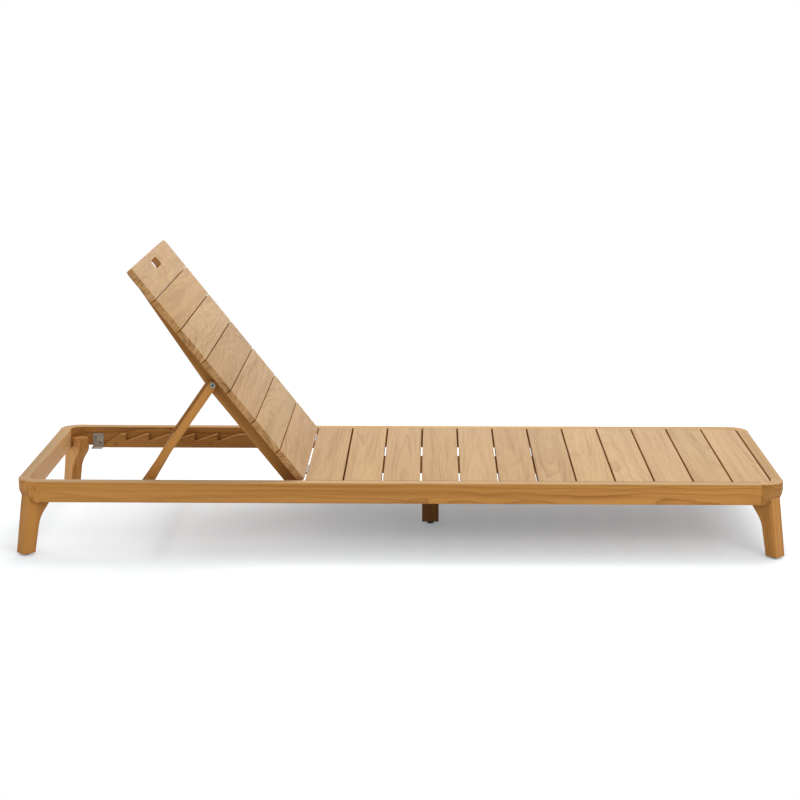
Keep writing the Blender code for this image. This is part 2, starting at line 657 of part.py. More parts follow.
def hinge_leaf(name, facing, steel):
    """One leaf on the pin's axis; facing is 1 on the seat's side and -1 on the back's."""
    plate_out = HINGE_GAP / 2 - JOINT_GAP
    plate_in = plate_out - HINGE_LEAF_THICKNESS
    edges = sorted((facing * plate_in, facing * plate_out))
    half = HINGE_LENGTH / 2
    leaf = make_object(name, box((edges[0], -half, -HINGE_LEAF_HEIGHT), (edges[1], half, 0)), steel)
    knuckle = HINGE_LENGTH / HINGE_KNUCKLES
    barrels = []
    rooms = []
    for i in range(HINGE_KNUCKLES):
        low = -half + i * knuckle
        high = low + knuckle
        if (i % 2 == 0) == (facing > 0):
            inset = JOINT_GAP / 2
            shape = rod(HINGE_KNUCKLE_RADIUS, low + inset, high - inset, PIN_SIDES)
            barrels.append(make_object(f"barrel_{i}", shape))
        else:
            radius = HINGE_KNUCKLE_RADIUS + JOINT_GAP
            shape = rod(radius, low - JOINT_GAP, high + JOINT_GAP, PIN_SIDES)
            rooms.append(make_object(f"room_{i}", shape))
    carve(leaf, "DIFFERENCE", rooms)
    carve(leaf, "UNION", barrels)
    bore = rod(HINGE_PIN_RADIUS + HINGE_BORE_CLEARANCE, -HINGE_LENGTH, HINGE_LENGTH, PIN_SIDES)
    carve(leaf, "DIFFERENCE", [make_object("hinge_bore", bore)])
    shade_round(leaf)
    return leaf


def make_hinges(steel, frame, back):
    """Two butt hinges with loose pins between the seat and the back."""
    half = HINGE_LENGTH / 2
    for side, sign in SIDES.items():
        middle_y = sign * HINGE_Y
        place(hinge_leaf(f"hinge_seat_leaf_{side}", 1, steel), frame, (PIN_X, middle_y, PIN_Z))
        place(hinge_leaf(f"hinge_back_leaf_{side}", -1, steel), back, (0, middle_y, 0))
        pin = make_object(f"hinge_pin_{side}", rod(HINGE_PIN_RADIUS, -half, half, PIN_SIDES), steel)
        shade_round(pin)
        place(pin, frame, (PIN_X, middle_y, PIN_Z))


def rack_outline():
    """The rack's side outline: a nose ramp, the notches and a flat run to the seat."""
    valley = RACK_TOP - NOTCH_DEPTH
    outline = [(RACK_HEAD_X, RACK_BOTTOM), (RACK_HEAD_X, RACK_BOTTOM + RACK_NOSE_HEIGHT)]
    outline.append((FIRST_NOTCH_X - FIRST_PEAK_FLAT, RACK_TOP))
    for i in range(NOTCH_COUNT):
        wall = FIRST_NOTCH_X + i * NOTCH_PITCH
        outline += [(wall, RACK_TOP), (wall, valley)]
        outline.append((wall + NOTCH_PITCH - PEAK_FLAT, RACK_TOP))
    outline += [(RACK_FOOT_X, RACK_TOP), (RACK_FOOT_X, RACK_BOTTOM)]
    return outline


def make_racks(teak, frame):
    for side, sign in SIDES.items():
        edges = sorted((sign * RACK_INNER_Y, sign * (RAIL_INNER_Y - JOINT_GAP)))
        rack = make_object(f"notched_rack_{side}", prism(rack_outline(), *edges), teak)
        place(rack, frame)


def make_brackets(steel, frame):
    """Angle brackets whose lips carry the bar when the back lies flat."""
    half = BRACKET_WIDTH / 2
    lip_foot = LIP_TOP - BRACKET_THICKNESS
    for side, sign in SIDES.items():
        wall = RAIL_INNER_Y - JOINT_GAP
        outline = [(wall, lip_foot), (wall, lip_foot + BRACKET_HEIGHT)]
        outline += [(wall - BRACKET_THICKNESS, lip_foot + BRACKET_HEIGHT)]
        outline += [(wall - BRACKET_THICKNESS, LIP_TOP)]
        outline += [(wall - BRACKET_REACH, LIP_TOP), (wall - BRACKET_REACH, lip_foot)]
        shape = prism(outline, -half, half)
        bmesh.ops.rotate(shape, verts=shape.verts, matrix=Matrix.Rotation(sign * math.pi / 2, 3, "Z"))
        bracket = make_object(f"bar_bracket_{side}", shape, steel)
        place(bracket, frame, (BRACKET_X, 0, 0))


def main():
    for obj in list(bpy.data.objects):
        bpy.data.objects.remove(obj)

    teak = make_material("oiled_teak", (0.50, 0.30, 0.13), 0.55)
    steel = make_material("stainless_steel", (0.55, 0.54, 0.52), 0.35, 1.0)
    rubber = make_material("black_foot_pad", (0.02, 0.02, 0.02), 0.6)

    frame = make_empty("frame_origin")
    back = make_empty("back_hinge_axis", frame, (PIN_X, 0, PIN_Z), BACK_ANGLE)
    fold = -(BACK_ANGLE + PROP_INCLINATION)
    prop = make_empty("prop_pivot_axis", back, (PIVOT_X, 0, PIVOT_Z), fold)

    make_rails(teak, frame)
    make_corners(teak, rubber, frame)
    make_carriers(teak, rubber, frame)
    make_racks(teak, frame)
    make_brackets(steel, frame)
    make_seat(teak, frame)
    make_back(teak, back)
    make_prop(teak, steel, back, prop)
    make_hinges(steel, frame, back)


main()
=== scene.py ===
"""Looks of a slatted teak sun lounger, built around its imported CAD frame.

Laid out as a Blender add-on and run as a script. Metres, in the CAD frame: the head end is at -X,
the sitter's left is +Y and the floor is at z = 0.
"""

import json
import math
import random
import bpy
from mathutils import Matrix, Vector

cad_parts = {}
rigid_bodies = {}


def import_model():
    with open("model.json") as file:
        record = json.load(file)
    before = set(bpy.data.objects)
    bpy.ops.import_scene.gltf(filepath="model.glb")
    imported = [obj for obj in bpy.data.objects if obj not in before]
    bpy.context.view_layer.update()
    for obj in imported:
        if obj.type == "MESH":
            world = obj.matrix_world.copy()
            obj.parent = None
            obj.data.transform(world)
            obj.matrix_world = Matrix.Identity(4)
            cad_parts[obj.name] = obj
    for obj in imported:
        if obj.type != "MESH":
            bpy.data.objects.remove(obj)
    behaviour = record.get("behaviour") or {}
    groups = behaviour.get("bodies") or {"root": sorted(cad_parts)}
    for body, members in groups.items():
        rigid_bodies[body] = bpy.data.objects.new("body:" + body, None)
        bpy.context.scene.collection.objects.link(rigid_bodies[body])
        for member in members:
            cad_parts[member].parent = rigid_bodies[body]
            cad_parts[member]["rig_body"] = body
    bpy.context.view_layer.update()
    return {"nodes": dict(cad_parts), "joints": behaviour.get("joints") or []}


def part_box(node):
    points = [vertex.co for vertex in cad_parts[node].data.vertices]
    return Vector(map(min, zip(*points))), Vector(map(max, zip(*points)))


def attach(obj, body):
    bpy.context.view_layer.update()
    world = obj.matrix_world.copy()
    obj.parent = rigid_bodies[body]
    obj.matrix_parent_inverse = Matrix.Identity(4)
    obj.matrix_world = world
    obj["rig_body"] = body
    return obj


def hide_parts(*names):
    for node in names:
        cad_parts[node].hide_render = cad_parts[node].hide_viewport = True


bl_info = {
    "name": "Teak sun lounger",
    "version": (1, 0, 0),
    "blender": (4, 5, 0),
    "location": "View3D > Sidebar > Lounger",
    "description": "Dresses the CAD frame of a slatted sun lounger in oiled teak and steel",
    "category": "Object",
}

import bmesh
import bpy
from bpy.props import FloatProperty, FloatVectorProperty, IntProperty, PointerProperty
from mathutils import Vector

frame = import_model()

SIDES = {"left": 1, "right": -1}
CORNERS = {
    "head_right": (-1, -1),
    "foot_right": (1, -1),
    "foot_left": (1, 1),
    "head_left": (-1, 1),
}
ALONG_X = Vector((1, 0, 0))
ALONG_Y = Vector((0, 1, 0))
UP = Vector((0, 0, 1))

# How each kind of board is cut from its log: cut_from_log tells what the names mean. LEG_SPLAY is
# how far the grain of a corner leg goes out on its way down.
LEG_SPLAY = 0.17
RAIL_LOG = {
    "pith": (0.06, 0.12),
    "turn": (20, 50),
    "lean": 0.01,
    "wild": (0.45, 0.65),
    "blush": (0.0, 0.1),
}
GEAR_LOG = {
    "pith": (0.10, 0.20),
    "turn": (50, 80),
    "lean": 0.012,
    "wild": (0.2, 0.35),
}
SEAT_LOG = {
    "turn": (-75, 75),
    "lean": 0.04,
    "wild": (0.15, 0.75),
    "coarse": 0.72,
    "blush": (0.0, 0.4),
}
BACK_LOG = {
    "pith": (0.02, 0.06),
    "lean": 0.08,
    "wild": (0.8, 1.6),
    "coarse": 0.5,
    "blush": (0.0, 0.45),
}

# Limits of the random draws that every board makes.
LOG_SHIFT = (-0.02, 0.02)
LOG_TILT = (0.4, 1.0)
LOG_SKEW = (-0.6, 0.6)
LOG_RUN = (-40.0, 40.0)
BOARD_GLOW = (0.93, 1.06)
TONE_LIFT = (-0.1, 0.1)

# Tones run from the oiled frame at 0 to the sanded deck at 1. Pairs are a tone and a shade, and
# triples have the direction of the faces before them. The faces that take these tones and shades
# are partly sanded wood and partly painted light: paler tops stand in for sheen, and brighter and
# darker faces for light and shade.
FRAME_TONE = 0.1
DECK_TONE = 0.0
END_TONE = 0.62
# RAIL_TOP and BLOCK_TOP make the frame's tops paler and a little brighter: painted sheen.
RAIL_TOP = (UP, 0.8, 1.05)
BLOCK_TOP = (UP, 0.75, 1.05)
# RACK_TOP makes the racks' ramp tops paler and brighter: painted light.
RACK_TOP = (UP, 0.5, 1.3)
# SEAT_TOP makes the slats' tops paler: sanded wood with painted sheen.
SEAT_TOP = (UP, 0.9, 1.0)
# BACK_FRONT makes the back slats' fronts paler, as sanded wood, and a little darker, as painted
# shade.
BACK_FRONT = (0.9, 0.93)
LEG_FLANK = (0.3, 1.5)
# HEAD_INNER brightens the head rail's inner face: painted light.
HEAD_INNER = (0.6, 1.35)
# SEAM_SIDE darkens the inner faces by the foot end: painted shade in the seam.
SEAM_SIDE = (0.1, 0.62)
LEG_SHADES = {"head_left": 1.08}
LEG_SHADE = 1.0
# The middle leg stands under the seat and is darkened as painted shade.
MIDDLE_LEG_PAINTED_SHADE = 0.48
BLOCK_SHADES = {"head_right": 1.12, "foot_right": 0.70}
BLOCK_SHADE = 0.95
PLUG_SHADE = 0.8

# Least cosine between a face, or an edge, and the direction that it counts as lying along.
END_FACE = 0.75
SHOW_FACE = 0.6
PLATE_FACE = 0.9
STRAIGHT_EDGE = 0.99

# Cleaning and rounding of the copied CAD shapes.
MERGE = 1e-6
ON_PLANE = 1e-5
CORNER_SLACK = 5e-4
FLAT_ANGLE = math.radians(1)
EDGE_ANGLE = math.radians(28)
SMOOTH_ANGLE = math.radians(32)
WOOD_SEGMENTS = 3
FITTING_SEGMENTS = 2
CORNER_SEGMENTS = 6
ROUND_PROFILE = 0.5
PAD_ROUNDING = 0.0012

# Teak. Waves are per metre along, across and into the board, limits are those of Graph.span, and
# RING_PERIOD is the distance between the rings of a wave texture at a scale of 1.
TEAK_SKIN = "oiled_teak"
SWAY = {"waves": (2.2, 8.0, 8.0), "reach": (0.0, 0.045, 0.045), "detail": 2.0}
RIPPLE = {"waves": (10.0, 30.0, 30.0), "reach": (0.0, 0.009, 0.009), "detail": 1.5}
RING_CLEAR = {"waves": (1.3, 17.0, 17.0), "limits": (0.36, 0.66, 0.25, 1.0), "detail": 1.0}
FIBRE = {"waves": (7.0, 420.0, 420.0), "limits": (0.32, 0.70), "detail": 3.0, "roughness": 0.6}
BROAD = {"waves": (1.1, 13.0, 13.0), "limits": (0.30, 0.70)}
PORE = {"waves": (26.0, 1500.0, 1500.0), "limits": (0.60, 0.74)}
STREAK = {"waves": (0.8, 70.0, 70.0), "limits": (0.46, 0.66), "detail": 3.0, "roughness": 0.55}
MIDDLE_NOISE = (0.5, 0.5, 0.5)
RING_PERIOD = math.pi / 10
RING_POWER = 3.8
END_GRAIN_POWER = 3
RING_SHARE = 0.64
FIBRE_SHARE = 0.16
BROAD_SHARE = 0.24
STREAK_SHARE = 0.34
PORE_SHARE = 0.30
BLUSH_TINT = (0.98, 0.94, 1.05)
END_TINT = (0.72, 0.66, 0.56)
END_LIMITS = (0.1, 0.7, 0.2, 1.0)
FIBRE_ROUGHNESS = 0.10
PORE_ROUGHNESS = 0.10
FIBRE_HEIGHT = 0.5
TEAK_BUMP = (0.22, 0.0006)

# Steel: tint, roughness and waves per metre of the streaks.
STEEL_LOOKS = {
    "bracket_steel": ((0.70, 0.60, 0.49), 0.46, (30.0, 30.0, 900.0)),
    "screw_steel": ((0.24, 0.21, 0.18), 0.50, (300.0, 300.0, 300.0)),
    "hinge_steel": ((0.52, 0.51, 0.50), 0.40, (900.0, 40.0, 900.0)),
    "bolt_steel": ((0.29, 0.30, 0.30), 0.40, (300.0, 300.0, 300.0)),
}
BRUSHED = {"limits": (0.3, 0.7), "detail": 3.0, "roughness": 0.6}
WEAR = {"waves": (60.0, 60.0, 60.0), "limits": (0.35, 0.70), "detail": 3.0}
WORN_TINT = 0.72
BRUSHED_SHARE = 0.5
WEAR_SHARE = 0.35
WEAR_ROUGHNESS = 0.15
STEEL_METALLIC = 0.9
STEEL_BUMP = (0.08, 0.0002)
# Painted shade on steel: faces are mixed towards this near black by a level kept on each face.
PAINTED_SHADE_TINT = (0.01, 0.01, 0.01)
SOCKET_RADIUS = 0.0034
SOCKET_DEPTH = 0.0034
SOCKET_LIP = 0.0002
# Levels of painted shade: in a bolt's socket, on a bracket's upright plate, and on its lip, which
# stays brighter where light falls.
SOCKET_DARK = 0.9
PLATE_DARK = 0.5
LIP_DARK = 0.2

# Rubber of the foot pads.
RUBBER_SKIN = "foot_pad_rubber"
RUBBER_TINT = (0.022, 0.021, 0.020)
DUST_TINT = (0.075, 0.068, 0.060)
DUST = {"waves": (70.0, 70.0, 70.0), "limits": (0.5, 0.75), "detail": 3.0}
DUST_SHARE = 0.5
RUBBER_GRAIN = (900.0, 900.0, 900.0)
RUBBER_ROUGHNESS = (0.3, 0.7, 0.55, 0.75)
RUBBER_BUMP = (0.15, 0.0003)

# Screws and plugs. Spots are shares of the bracket's or rack's box, and the head's and its cross
# slots' sizes are shares of its radius and height.
BRACKET_SHEET = 0.0025
SCREW_SPOTS = ((0.28, 0.26), (0.66, 0.68))
PLUG_SPOTS = (0.058, 0.509)
PLUG_ABOVE_FOOT = 0.0102
HEAD_SIDES = 24
HEAD_CROWN = 0.82
CROSS_LENGTH = 1.15
CROSS_WIDTH = 0.28
CROSS_LIFT = 1.05

# Stage.
FLOOR_HALF = 30.0
FLOOR_DROP = 0.0003
FLOOR_FADE = (1.25, 2.0)
TOP_LAMP = {"size": (3.2, 2.0), "place": (0.25, 1.0, 2.9), "aim": (0.0, 0.0, 0.0)}
FRONT_LAMP = {"size": (2.4, 1.5), "place": (1.9, -3.4, 2.0), "aim": (0.0, 0.0, 0.15)}
WHITE = (1.0, 1.0, 1.0)
SENSOR_WIDTH = 36.0
CLIP_END = 200.0


def hinge_joint(name):
    return next(joint for joint in frame["joints"] if joint["name"] == name)


def back_direction():
    """The raised back's direction from the hinge to its top edge."""
    low = sum(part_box("back_slat_1"), Vector()) / 2
    high = sum(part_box("back_slat_7"), Vector()) / 2
    return (high - low).normalized()


def prop_direction():
    """The prop's direction from its bolts down to the bar."""
    bolt = Vector(hinge_joint("prop_pivot")["pos_m"])
    bar = sum(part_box("prop_bar"), Vector()) / 2
    return (bar - bolt).normalized()


class LoungerWood(bpy.types.PropertyGroup):
    """Colours and figure of the teak."""

    frame_early: FloatVectorProperty(
        name="Frame, early wood", description="Pale wood of the rails, legs and prop",
        subtype="COLOR", size=3, min=0, max=1, default=(0.470, 0.214, 0.042),
    )
    frame_late: FloatVectorProperty(
        name="Frame, late wood", description="Rings and streaks of the rails, legs and prop",
        subtype="COLOR", size=3, min=0, max=1, default=(0.235, 0.086, 0.012),
    )
    # The deck colours go on every face with a pale tone: sanded wood on the slats, and painted
    # sheen and light on the frame's tops, the racks' tops and the head rail's inner face.
    deck_early: FloatVectorProperty(
        name="Deck, early wood", description="Pale wood of the sanded slats", subtype="COLOR",
        size=3, min=0, max=1, default=(0.500, 0.337, 0.172),
    )
    deck_late: FloatVectorProperty(
        name="Deck, late wood", description="Rings and streaks of the sanded slats",
        subtype="COLOR", size=3, min=0, max=1, default=(0.330, 0.200, 0.090),
    )
    pore: FloatVectorProperty(
        name="Pores", description="Short dark lines along the grain", subtype="COLOR",
        size=3, min=0, max=1, default=(0.170, 0.070, 0.018),
    )
    ring_spacing: FloatProperty(
        name="Ring spacing", description="Distance between growth rings", unit="LENGTH",
        min=0.001, max=0.05, default=0.0062,
    )
    roughness: FloatProperty(
        name="Roughness", description="Roughness of the oiled surface", subtype="FACTOR",
        min=0, max=1, default=0.50,
    )
    sheen: FloatProperty(
        name="Sheen", description="How much the oiled surface mirrors", subtype="FACTOR",
        min=0, max=1, default=0.14,
    )
    seed: IntProperty(
        name="Seed", description="Picks the figure of every board", default=7,
    )


class LoungerEdges(bpy.types.PropertyGroup):
    """How far the edges are rounded."""

    rail: FloatProperty(
        name="Rails", description="Rounding of the frame's edges", unit="LENGTH",
        min=0, max=0.01, default=0.0025,
    )
    slat: FloatProperty(
        name="Slats", description="Rounding of the deck's slats", unit="LENGTH",
        min=0, max=0.008, default=0.0016,
    )
    top_corner: FloatProperty(
        name="Top corners", description="Rounding of the back's two upper corners", unit="LENGTH",
        min=0, max=0.03, default=0.014,
    )
    top_edge: FloatProperty(
        name="Top slat", description="Rounding of the back's top slat and its hand slot",
        unit="LENGTH", min=0, max=0.008, default=0.003,
    )
    leg: FloatProperty(
        name="Legs", description="Rounding of the legs", unit="LENGTH",
        min=0, max=0.01, default=0.003,
    )
    gear: FloatProperty(
        name="Prop and racks", description="Rounding of prop, racks and battens", unit="LENGTH",
        min=0, max=0.005, default=0.0014,
    )
    metal: FloatProperty(
        name="Fittings", description="Rounding of the steel fittings", unit="LENGTH",
        min=0, max=0.002, default=0.0004,
    )


class LoungerFasteners(bpy.types.PropertyGroup):
    """Screws on the brackets and plugs on the racks."""

    screw_radius: FloatProperty(
        name="Screw radius", description="Radius of the bracket screws' heads", unit="LENGTH",
        min=0.001, max=0.01, default=0.0036,
    )
    screw_height: FloatProperty(
        name="Screw height", description="How far a screw head stands up", unit="LENGTH",
        min=0.0001, max=0.005, default=0.0013,
    )
    plug_radius: FloatProperty(
        name="Plug radius", description="Radius of the plugs over the rack's screws", unit="LENGTH",
        min=0.001, max=0.01, default=0.0046,
    )
    plug_height: FloatProperty(
        name="Plug height", description="How far a plug stands up", unit="LENGTH",
        min=0.0001, max=0.005, default=0.0003,
    )


class LoungerStage(bpy.types.PropertyGroup):
    """Camera, floor and light."""

    camera_place: FloatVectorProperty(
        name="Camera", description="Where the camera stands", subtype="XYZ", unit="LENGTH",
        size=3, default=(0.0868, -5.2813, 1.4323),
    )
    camera_turn: FloatVectorProperty(
        name="Camera turn", description="Which way the camera looks", subtype="EULER",
        size=3, default=(math.radians(78.406), 0.0, math.radians(0.987)),
    )
    lens: FloatProperty(
        name="Lens", description="Focal length in millimetres", unit="CAMERA", min=10, max=300,
        default=88.26,
    )
    floor_colour: FloatVectorProperty(
        name="Floor", description="Colour of the floor", subtype="COLOR", size=3, min=0, max=1,
        default=(0.84, 0.84, 0.84),
    )
    floor_glow: FloatVectorProperty(
        name="Floor glow", description="What the camera sees of the floor in full shade",
        subtype="COLOR", size=3, min=0, max=1, default=(0.165, 0.212, 0.238),
    )
    sky_strength: FloatProperty(
        name="Sky", description="Strength of the light from all round", min=0, max=5, default=0.78,
    )
    top_power: FloatProperty(
        name="Top light", description="Power of the soft light overhead", unit="POWER",
        min=0, max=5000, default=60,
    )
    front_power: FloatProperty(
        name="Front light", description="Power of the soft light before the lounger", unit="POWER",
        min=0, max=5000, default=54,
    )


class Graph:
    """A material or node group under construction."""

    def __init__(self, tree):
        self.tree = tree

    def add(self, kind, **settings):
        node = self.tree.nodes.new(kind)
        for name, value in settings.items():
            setattr(node, name, value)
        return node

    def link(self, output, socket):
        self.tree.links.new(output, socket)

    def put(self, socket, value):
        """Links an output to a socket, or sets a plain value on it."""
        if isinstance(value, bpy.types.NodeSocket):
            self.link(value, socket)
        else:
            socket.default_value = value

    def math(self, operation, first, second=0.0, clamp=False):
        node = self.add("ShaderNodeMath", operation=operation, use_clamp=clamp)
        self.put(node.inputs[0], first)
        self.put(node.inputs[1], second)
        return node.outputs[0]

    def vector(self, operation, first, second):
        node = self.add("ShaderNodeVectorMath", operation=operation)
        self.put(node.inputs[0], first)
        self.put(node.inputs[1], second)
        return node.outputs[0]

    def scale(self, vector, factor):
        node = self.add("ShaderNodeVectorMath", operation="SCALE")
        self.link(vector, node.inputs[0])
        self.link(factor, node.inputs["Scale"])
        return node.outputs[0]

    def span(self, value, low, high, to_low=0.0, to_high=1.0):
        """Stretches a value between two limits, held at the ends."""
        node = self.add("ShaderNodeMapRange", clamp=True)
        for socket, number in zip(node.inputs[1:5], (low, high, to_low, to_high)):
            socket.default_value = number
        self.link(value, node.inputs[0])
        return node.outputs[0]

    def mix(self, share, first, second, blend="MIX"):
        node = self.add("ShaderNodeMix", data_type="RGBA", blend_type=blend)
        self.put(node.inputs[0], share)
        self.put(node.inputs[6], first)
        self.put(node.inputs[7], second)
        return node.outputs[2]

    def noise(self, place, waves, detail=2.0, roughness=0.5):
        """Noise on a stretched place: (value, colour)."""
        node = self.add("ShaderNodeTexNoise")
        node.inputs["Scale"].default_value = 1.0
        node.inputs["Detail"].default_value = detail
        node.inputs["Roughness"].default_value = roughness
        self.link(self.vector("MULTIPLY", place, waves), node.inputs["Vector"])
        return node.outputs[0], node.outputs[1]

    def field(self, place, waves, limits, detail=2.0, roughness=0.5):
        """Noise stretched between its limits."""
        return self.span(self.noise(place, waves, detail, roughness)[0], *limits)

    def wander(self, place, waves, reach, detail):
        """A noisy offset that reaches to both sides."""
        offset = self.vector("SUBTRACT", self.noise(place, waves, detail)[1], MIDDLE_NOISE)
        return self.vector("MULTIPLY", offset, reach)

    def bump(self, shader, height, strength, distance):
        node = self.add("ShaderNodeBump")
        node.inputs["Strength"].default_value = strength
        node.inputs["Distance"].default_value = distance
        self.link(height, node.inputs["Height"])
        self.link(node.outputs["Normal"], shader.inputs["Normal"])

    def read(self, name):
        """An attribute of the piece: (vector, number)."""
        node = self.add("ShaderNodeAttribute", attribute_name=name)
        return node.outputs["Vector"], node.outputs["Fac"]


def new_material(name):
    """A material with an empty Principled shader: (material, graph, shader)."""
    material = bpy.data.materials.new(name)
    material.use_nodes = True
    shader = material.node_tree.nodes["Principled BSDF"]
    return material, Graph(material.node_tree), shader


def colour(values):
    return (*values, 1.0)


def make_teak(wood):
    """Teak cut from a ringed log; each board brings its own place in the log."""
    material, graph, shader = new_material(TEAK_SKIN)
    place = graph.read("grain")[0]
    bent = graph.vector("ADD", graph.wander(place, **SWAY), graph.wander(place, **RIPPLE))
    swayed = graph.vector("ADD", place, graph.scale(bent, graph.read("wild")[1]))

    rings = graph.add("ShaderNodeTexWave", wave_type="RINGS", rings_direction="X")
    rings.wave_profile = "SAW"
    rings.inputs["Scale"].default_value = RING_PERIOD / wood.ring_spacing
    rings.inputs["Distortion"].default_value = 0.0
    graph.link(swayed, rings.inputs["Vector"])
    ring = graph.math("POWER", rings.outputs["Fac"], RING_POWER)
    ring = graph.math("MULTIPLY", ring, graph.field(place, **RING_CLEAR))

    fibre = graph.field(place, **FIBRE)
    broad = graph.field(place, **BROAD)
    pore = graph.field(place, **PORE)
    streak = graph.field(place, **STREAK)
    share = graph.math("MULTIPLY", ring, RING_SHARE)
    share = graph.math("ADD", share, graph.math("MULTIPLY", fibre, FIBRE_SHARE))
    share = graph.math("ADD", share, graph.math("MULTIPLY", broad, BROAD_SHARE))
    share = graph.math("ADD", share, graph.math("MULTIPLY", streak, STREAK_SHARE), clamp=True)

    # Each face's tone mixes the oiled colour towards the pale deck colour, and its shade scales the
    # brightness. Besides each board's own tone, this carries painted light: paler tops stand in for
    # sheen, and some faces are brightened or darkened as painted light and shade.
    oiled = graph.mix(share, colour(wood.frame_early), colour(wood.frame_late))
    sanded = graph.mix(share, colour(wood.deck_early), colour(wood.deck_late))
    skin = graph.mix(graph.read("tone")[1], oiled, sanded)
    skin = graph.mix(graph.math("MULTIPLY", pore, PORE_SHARE), skin, colour(wood.pore))
    skin = graph.mix(graph.read("blush")[1], skin, colour(BLUSH_TINT), "MULTIPLY")
    skin = graph.scale(skin, graph.read("shade")[1])
    end_grain = graph.read("end_grain")[1]
    end_dark = graph.math("MULTIPLY", end_grain, graph.span(share, *END_LIMITS))
    skin = graph.mix(end_dark, skin, colour(END_TINT), "MULTIPLY")
    graph.link(skin, shader.inputs["Base Color"])
    shader.inputs["Specular IOR Level"].default_value = wood.sheen

    rough = graph.math("ADD", graph.math("MULTIPLY", fibre, FIBRE_ROUGHNESS), wood.roughness)
    rough = graph.math("ADD", rough, graph.math("MULTIPLY", pore, PORE_ROUGHNESS))
    graph.link(rough, shader.inputs["Roughness"])
    height = graph.math("SUBTRACT", graph.math("MULTIPLY", fibre, FIBRE_HEIGHT), pore)
    graph.bump(shader, height, *TEAK_BUMP)
    return material


def make_steel(name, tint, roughness, waves):
    """Satin steel with fine streaks, a little dull wear and painted shade on the faces that carry a
    level for it.
    """
    material, graph, shader = new_material(name)
    place = graph.add("ShaderNodeTexCoord").outputs["Object"]
    fine = graph.field(place, waves, **BRUSHED)
    cloud = graph.field(place, **WEAR)
    dark = tuple(WORN_TINT * value for value in tint)
    skin = graph.mix(graph.math("MULTIPLY", fine, BRUSHED_SHARE), colour(tint), colour(dark))
    skin = graph.mix(graph.math("MULTIPLY", cloud, WEAR_SHARE), skin, colour(dark))
    # Painted shade: the bolts' sockets and the brackets' faces turn towards near black by their
    # level.
    skin = graph.mix(graph.read("recess")[1], skin, colour(PAINTED_SHADE_TINT))
    graph.link(skin, shader.inputs["Base Color"])
    shader.inputs["Metallic"].default_value = STEEL_METALLIC
    rough = graph.math("ADD", graph.math("MULTIPLY", cloud, WEAR_ROUGHNESS), roughness)
    graph.link(rough, shader.inputs["Roughness"])
    graph.bump(shader, fine, *STEEL_BUMP)
    return material


def make_rubber():
    """Moulded black foot pads with a faint grain and dust."""
    material, graph, shader = new_material(RUBBER_SKIN)
    place = graph.add("ShaderNodeTexCoord").outputs["Object"]
    grain = graph.noise(place, RUBBER_GRAIN)[0]
    dust = graph.math("MULTIPLY", graph.field(place, **DUST), DUST_SHARE)
    skin = graph.mix(dust, colour(RUBBER_TINT), colour(DUST_TINT))
    graph.link(skin, shader.inputs["Base Color"])
    graph.link(graph.span(grain, *RUBBER_ROUGHNESS), shader.inputs["Roughness"])
    graph.bump(shader, grain, *RUBBER_BUMP)
    return material


def teak():
    return bpy.data.materials.get(TEAK_SKIN) or make_teak(bpy.context.scene.lounger_wood)


def steel(name):
    skin = f"satin_{name}"
    return bpy.data.materials.get(skin) or make_steel(skin, *STEEL_LOOKS[name])


def rubber():
    return bpy.data.materials.get(RUBBER_SKIN) or make_rubber()


def copied_shape(node):
    """A CAD node's shape as a clean bmesh: doubles merged and flat faces whole."""
    shape = bmesh.new()
    shape.from_mesh(frame["nodes"][node].data)
    bmesh.ops.remove_doubles(shape, verts=shape.verts, dist=MERGE)
    bmesh.ops.dissolve_limit(
        shape, angle_limit=FLAT_ANGLE, verts=shape.verts, edges=shape.edges, delimit={"NORMAL"}
    )
    return shape


def round_edges(shape, radius, segments, keep=None):
    """Rounds the sharp edges, apart from those that keep names."""
    picked = []
    for edge in shape.edges:
        if len(edge.link_faces) != 2 or edge.calc_face_angle(0.0) < EDGE_ANGLE:
            continue
        if keep and keep(edge):
            continue
        picked.append(edge)
    if picked and radius > 0:
        bmesh.ops.bevel(
            shape, geom=picked, offset=radius, offset_type="OFFSET", segments=segments,
            profile=ROUND_PROFILE, affect="EDGES", clamp_overlap=True,
        )


def piece_from(shape, name, material):
    """A finished piece at the origin from a bmesh."""
    mesh = bpy.data.meshes.new(name)
    shape.to_mesh(mesh)
    shape.free()
    mesh.materials.append(material)
    mesh.shade_smooth()
    mesh.set_sharp_from_angle(angle=SMOOTH_ANGLE)
    piece = bpy.data.objects.new(name, mesh)
    bpy.context.scene.collection.objects.link(piece)
    return piece


def stand_for(piece, node):
    """The piece takes the place of a CAD node, on that node's body."""
    body = frame["nodes"][node]["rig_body"]
    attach(piece, body)
    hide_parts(node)


def spread(mesh, name, domain, values):
    """Keeps one number for each point or face of a mesh."""
    mesh.attributes.new(name, "FLOAT", domain).data.foreach_set("value", values)


